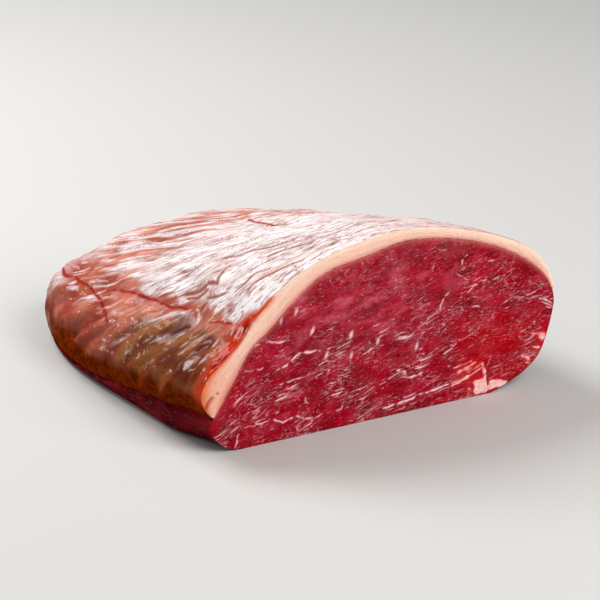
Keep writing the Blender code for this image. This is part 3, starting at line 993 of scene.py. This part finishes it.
# Each strand of the pocket has a path, its half widths at both ends and its strength.
POCKET_PATHS = (
    (((130, 7), (134.4, 6.4)), 2.3, 2.6, 1.0),
    (((130.6, 3.2), (134.4, 3)), 2.3, 2.3, 1.0),
    (((138.4, 4.4), (141.6, 4.8), (145.4, 3.6)), 2.8, 1.8, 1.0),
    (((132.6, 16.4), (134.2, 13), (134.9, 10), (135.1, 7)), 0.7, 1.5, 0.85),
    (((115.5, 8.4), (120.5, 10), (124.5, 11.4)), 0.7, 1.2, 0.85),
    (((124.5, 11.4), (129, 13.2), (133, 15)), 0.9, 0.5, 0.7),
    (((120.4, 15.2), (124, 16.3), (129, 17.8)), 1.5, 0.6, 0.75),
    (((120, 15), (125, 15.6), (131, 16.4)), 2.6, 1.4, 0.45),
    (((116.5, 17.6), (121, 18.4), (126, 19)), 0.5, 0.6, 0.7),
    (((125, 13.6), (129, 15.2), (132.6, 16.4)), 0.4, 0.6, 0.6),
    (((125.6, 5), (126.8, 2.6)), 0.9, 0.7, 0.6),
    (((120, 0.4), (127.6, 0.8), (132.4, 1.5)), 0.5, 1.2, 0.75),
    (((160.6, 26.8), (164, 25.4), (167.6, 24.4)), 0.4, 2.2, 0.8),
    (((161.6, 19.6), (165, 18.6)), 0.5, 1.0, 0.75),
    (((155.6, 16.2), (159.2, 14.2)), 0.7, 1.2, 0.8),
    (((158, 12.4), (160.2, 11.4)), 0.5, 1.0, 0.65),
)
POCKET_CRACK = ((136.2, 10), (135.9, 7.4), (136.6, 4.8))

warp = noise_at(face_x / 24.0, face_z / 24.0, 21.0)
small_warp = noise_at(face_x / 5.0, face_z / 5.0, 22.0)
grain_u = face_x + 1.0 * small_warp
grain_w = face_z - 0.22 * face_x + 6.0 * np.exp(-face_x / 45.0) + 3.2 * warp + 0.45 * small_warp
bundles = streaks(grain_u, grain_w, 13.0, 3.0, 23)
threads = ridges(streaks(grain_u, grain_w, 12.0, 3.0, 24), 9.0)
dashes = limited(6.0 * (streaks(grain_u, grain_w, 7.5, 0.85, 25) - 0.43))
flecks = limited(6.0 * (streaks(grain_u, grain_w, 4.0, 0.75, 26) - 0.47))
clusters = eased(0.5 + 1.5 * noise_at(face_x / 15.0, face_z / 9.0, 27.0))
low_half = eased((58.0 - face_z + 0.15 * face_x) / 40.0)
thread_share = 0.2 + 0.7 * clusters * (0.5 + 0.5 * low_half)
marbling = 0.45 * threads * clusters * (0.3 + 0.7 * low_half)
marbling = np.maximum(marbling, dashes * (0.2 + 0.6 * low_half) * (0.15 + 0.85 * clusters))
marbling = np.maximum(marbling, flecks * (0.15 + 0.35 * low_half))
breaks = noise_at(face_x / 3.0, face_z / 2.0, 28.0)
for path, width, strength in PALE_LINES:
    gap, share = near_path(face_x + 0.7 * small_warp, face_z + 0.9 * small_warp + 0.5 * breaks, path)
    taper = np.sqrt(limited(4.0 * share * (1.0 - share))) * 0.8 + 0.2
    line = bell(gap, 0.15 + 0.6 * width * taper) * eased(0.75 + 2.0 * breaks)
    marbling = np.maximum(marbling, strength * line)
for (centre_x, centre_z), strength in PALE_BLOTS:
    along = face_x - 0.3 * (face_z - centre_z) + 0.5 * small_warp
    blot = spot(along, face_z, (centre_x, centre_z), 0.9, 2.2)
    marbling = np.maximum(marbling, strength * blot)

veil_area = spot(face_x, face_z, (66.0, 60.0), 46.0, 22.0)
veil = 0.2 + 1.5 * noise_at(face_x / 10.0, grain_w / 5.5, 31.0)
veil = veil + 0.6 * noise_at(face_x / 4.0, face_z / 2.6, 32.0)
veil = limited(veil) * (0.2 + 0.7 * veil_area) + 0.15 * veil_area
red_area = np.zeros_like(face_x)
for centre, width, height, strength in RED_AREAS:
    red_area = np.maximum(red_area, strength * spot(face_x, face_z, centre, width, height))
marbling = marbling * (1.0 - 0.75 * red_area)

pocket = np.zeros_like(face_x)
for path, width, end_width, strength in POCKET_PATHS:
    gap, share = near_path(face_x + 0.6 * small_warp, face_z + 0.5 * small_warp, path)
    width = (width + (end_width - width) * share) * (1.0 + 0.5 * breaks)
    strand = np.exp(-((gap / width) ** (6 if strength == 1.0 else 2)))
    frayed = 1.0 if strength == 1.0 else np.clip(0.95 + 0.7 * breaks + 0.3 * small_warp, 0.3, 1.1)
    pocket = np.maximum(pocket, strength * strand * frayed)
pocket_crack = bell(near_path(face_x, face_z, POCKET_CRACK)[0], 0.5)
pocket = pocket * (1.0 - pocket_crack)
print("lean: marbling covers", round(100 * float((marbling > 0.3).mean())), "% of the cut face")

# %% Lean: raise the cut face
inside = eased(edge_gap / 2.5) * eased(top_gap / 1.5)
relief = (
    0.35 * warp
    + 0.10 * bundles
    + 0.09 * marbling
    + 0.06 * flecks
    + 0.30 * pocket
    - 0.9 * pocket_crack
)
rounding = SOFT_EDGE * limited(1.0 - edge_gap / 1.4) ** 2
away_from_fat = limited(top_gap / 6.0)
face[..., 1] = rounding * away_from_fat - inside * relief
face[0], face[-1] = bottom_side, top_side
face[:, 0], face[:, -1] = left_side, right_side
print("lean: the cut face stands out up to", round(-float(face[..., 1].min()), 2), "mm")

# %% Lean: assemble the sheets
lean_mesh = layered_mesh("marbling veil bright pocket bundle cut fat_near threads grain_u grain_w")
add_sheet(
    lean_mesh,
    face,
    marbling=marbling,
    veil=veil,
    bright=red_area,
    pocket=pocket,
    bundle=0.5 + 0.5 * bundles,
    cut=1.0,
    fat_near=np.exp(-top_gap / 1.1),
    threads=thread_share * (1.0 - 0.6 * red_area),
    grain_u=grain_u * MM,
    grain_w=grain_w * MM,
)
for table, coarse in ((flank, (4, 1)), (base, (6, 2)), (heel, (8, 1)), (covered, (8, 8))):
    add_sheet(
        lean_mesh,
        table,
        coarse,
        cut=limited(1.0 - table[..., 1] / 0.8),
        marbling=0.6 * sinew if table is flank else 0.0,
        grain_u=table[..., 1] * MM,
        grain_w=(table[..., 2] + 0.5 * table[..., 0]) * MM,
    )

# %% [markdown]
# ### The finish of the lean
#
# Fresh lean is a deep wet crimson. Where light comes back out of the fibres it looks smoky pink, and
# towards the lower right it is a brighter red. Thin pale strands of fat run with the grain, and the
# finest and brightest of them are painted glints of the wet surface. The bare outer lean is painted
# dark, partly as painted shade. All the tones come from the stored patterns, with finer fibres
# added by the shader.

# %% Material: lean beef


def lean_beef_material():
    material, tree, shader = new_material("lean beef")
    place = add_node(tree, "TexCoord").outputs["Object"]
    grain = add_node(tree, "CombineXYZ", {"X": "grain_u", "Y": "grain_w"}).outputs[0]
    broad = noise_node(tree, place, 0.018, detail=4.0)
    small = noise_node(tree, place, 0.0022, detail=4.0, roughness=0.6)
    fibre = fibre_node(tree, grain, 0.0055, 0.0013, 0.55, 0.05)
    short = fibre_node(tree, grain, 0.0030, 0.0009, 0.57, 0.07)

    pale = mixed(tree, ranged(tree, small, 0.4, 0.6), (234, 164, 160), (244, 204, 200))
    cut = painted(
        tree,
        mixed(tree, ranged(tree, broad, 0.36, 0.64), (128, 0, 16), (164, 0, 32)),
        (ranged(tree, "bundle", 0.55, 0.2, 0.0, 0.75), (98, 0, 6)),
        (times(tree, "bright", 0.9), (176, 0, 4)),
        (times(tree, "veil", ranged(tree, small, 0.35, 0.6, 0.4, 0.9)), (190, 80, 98)),
        (times(tree, times(tree, fibre["Mask"], "threads"), 0.1), (204, 84, 108)),
        # Fine pale lines: partly fat strands, partly painted glints of the wet surface.
        (times(tree, fibre["Lines"], "threads"), (246, 196, 206)),
        (times(tree, times(tree, short["Lines"], "threads"), 0.42), (242, 180, 192)),
        (ranged(tree, "marbling", 0.15, 0.85), (244, 198, 206)),
        (ranged(tree, "pocket", 0.0, 0.6), (200, 44, 48)),
        (ranged(tree, "pocket", 0.35, 0.85), pale),
        (times(tree, "fat_near", 0.75), (214, 120, 116)),
    )
    # The bare outer lean is painted dark: partly its own colour, partly painted shade under the fat and
    # on the heel.
    skin = painted(
        tree,
        mixed(tree, ranged(tree, broad, 0.4, 0.6), (84, 6, 14), (126, 22, 30)),
        (times(tree, fibre["Mask"], 0.4), (170, 84, 84)),
        ("marbling", (206, 136, 128)),
    )

    roughness, relief = wet_surface(tree, 0.24, 0.0013, short["Height"], 0.8)
    bump = add_node(tree, "Bump", {"Height": relief, "Strength": 0.4, "Distance": 0.0004})
    finish = {
        "Base Color": mixed(tree, "cut", skin, cut),
        "Roughness": roughness,
        "Normal": bump.outputs["Normal"],
        "Subsurface Weight": 0.1,
        "Subsurface Radius": (1.0, 0.3, 0.2),
        "Subsurface Scale": 0.002,
        "Specular IOR Level": 0.0,
        "Coat Weight": 0.04,
        "Coat Roughness": 0.15,
    }
    fill(tree, shader, finish)
    return material


finish_piece("cut_face_and_flank", lean_mesh, lean_beef_material(), "root", "lean_meat")

# %% Floor
floor_mesh = bmesh.new()
bmesh.ops.create_grid(floor_mesh, x_segments=1, y_segments=1, size=4.0)
floor_data = bpy.data.meshes.new("floor")
floor_mesh.to_mesh(floor_data)
floor_mesh.free()
floor_material, _, floor_shader = new_material("pale floor")
floor_shader.inputs["Base Color"].default_value = paint(198, 198, 196)
floor_shader.inputs["Roughness"].default_value = 0.7
floor_data.materials.append(floor_material)
floor = bpy.data.objects.new("floor", floor_data)
bpy.context.scene.collection.objects.link(floor)
